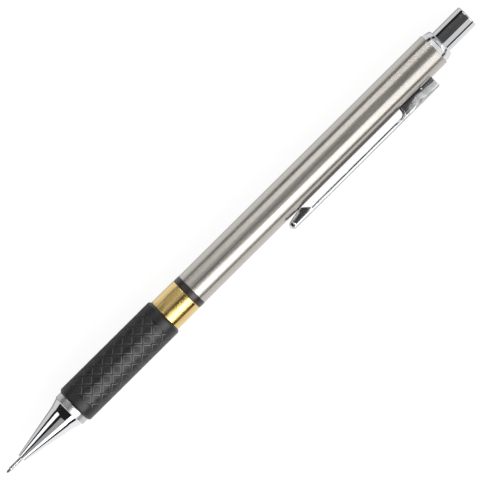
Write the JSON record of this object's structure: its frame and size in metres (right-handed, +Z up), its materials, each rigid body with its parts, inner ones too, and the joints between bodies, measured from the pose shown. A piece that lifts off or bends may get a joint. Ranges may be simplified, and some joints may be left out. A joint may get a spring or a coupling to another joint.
{
  "type": "mechanical pencil",
  "caption": "Mechanical pencil with a steel barrel, moulded diamond-pad grip, conical metal tip with lead pipe, spring chuck, pocket clip and push button over an eraser.",
  "frame": {"origin": "centre of the front end of the lead pipe, on the axis of the pencil", "axes": "+X along the axis from the tip to the push button, +Z up as the pencil lies on a table, the clip stands off on the -Y side"},
  "size_m": [0.1402, 0.0112, 0.0092],
  "materials": {
    "graphite": "dark grey, slightly shiny",
    "pipe_steel": "drawn, bright",
    "tip_chrome": "polished",
    "retainer_rubber": "matt",
    "chuck_brass": "turned",
    "sleeve_brass": "turned",
    "spring_steel": "drawn wire",
    "feed_plastic": "moulded, off-white",
    "eraser_rubber": "matt white",
    "button_chrome": "polished",
    "collar_chrome": "polished",
    "barrel_steel": "satin, drawn along the axis",
    "clip_chrome": "polished",
    "core_aluminium": "turned",
    "grip_rubber": "moulded, soft sheen",
    "gilt": "polished gilt",
    "spacer_plastic": "black, slightly shiny"
  },
  "bodies": {
    "barrel_assembly": {"barrel_tube": "barrel_steel", "end_collar": "collar_chrome", "clip_saddle": "clip_chrome", "grip_core": "core_aluminium", "grip_sleeve": "grip_rubber", "gilt_ring": "gilt", "spacer_ring": "spacer_plastic", "chuck_sleeve": "sleeve_brass", "chuck_spring": "spring_steel"},
    "feed": {"lead_tube": "feed_plastic", "chuck_connector": "feed_plastic", "chuck_collet": "chuck_brass", "spare_leads": "graphite", "eraser": "eraser_rubber"},
    "button": {"push_button": "button_chrome"},
    "closing_ring": {"chuck_ring": "chuck_brass"},
    "writing_lead": {"lead": "graphite"},
    "tip_insert": {"lead_pipe": "pipe_steel", "lead_retainer": "retainer_rubber"},
    "tip": {"tip_cone": "tip_chrome"},
    "clip": {"pocket_clip": "clip_chrome"}
  },
  "joints": [
    {"name": "button_press", "type": "slide", "parent": "barrel_assembly", "child": "feed", "axis": [-1, 0, 0], "range_m": [0, 0.0035], "stiffness_N_per_m": 600, "springref_m": -0.004, "deforming": ["chuck_spring"]},
    {"name": "cap_pull", "type": "slide", "parent": "feed", "child": "button", "axis": [1, 0, 0], "range_m": [0, 0.014]},
    {"name": "ring_run", "type": "slide", "parent": "barrel_assembly", "child": "closing_ring", "axis": [-1, 0, 0], "range_m": [0, 0.0006]},
    {"name": "lead_feed", "type": "slide", "parent": "barrel_assembly", "child": "writing_lead", "axis": [-1, 0, 0], "range_m": [-0.001, 0.01]},
    {"name": "tip_travel", "type": "slide", "parent": "barrel_assembly", "child": "tip_insert", "axis": [-1, 0, 0], "range_m": [0, 0.005]},
    {"name": "tip_screw", "type": "hinge", "parent": "tip_insert", "child": "tip", "pos_m": [0.0195, 0, 0], "axis": [-1, 0, 0], "range_deg": [0, 3600]},
    {"name": "clip_flex", "type": "hinge", "parent": "barrel_assembly", "child": "clip", "pos_m": [0.12435, -0.00437, 0], "axis": [0, 0, 1], "range_deg": [0, 4], "stiffness_Nm_per_rad": 0.05, "springref_deg": -2.86}
  ],
  "couplings": [
    {"joint": "ring_run", "follows": "button_press", "ratio": 0.17},
    {"joint": "tip_screw", "follows": "tip_travel", "rad_per_m": 12560}
  ]
}
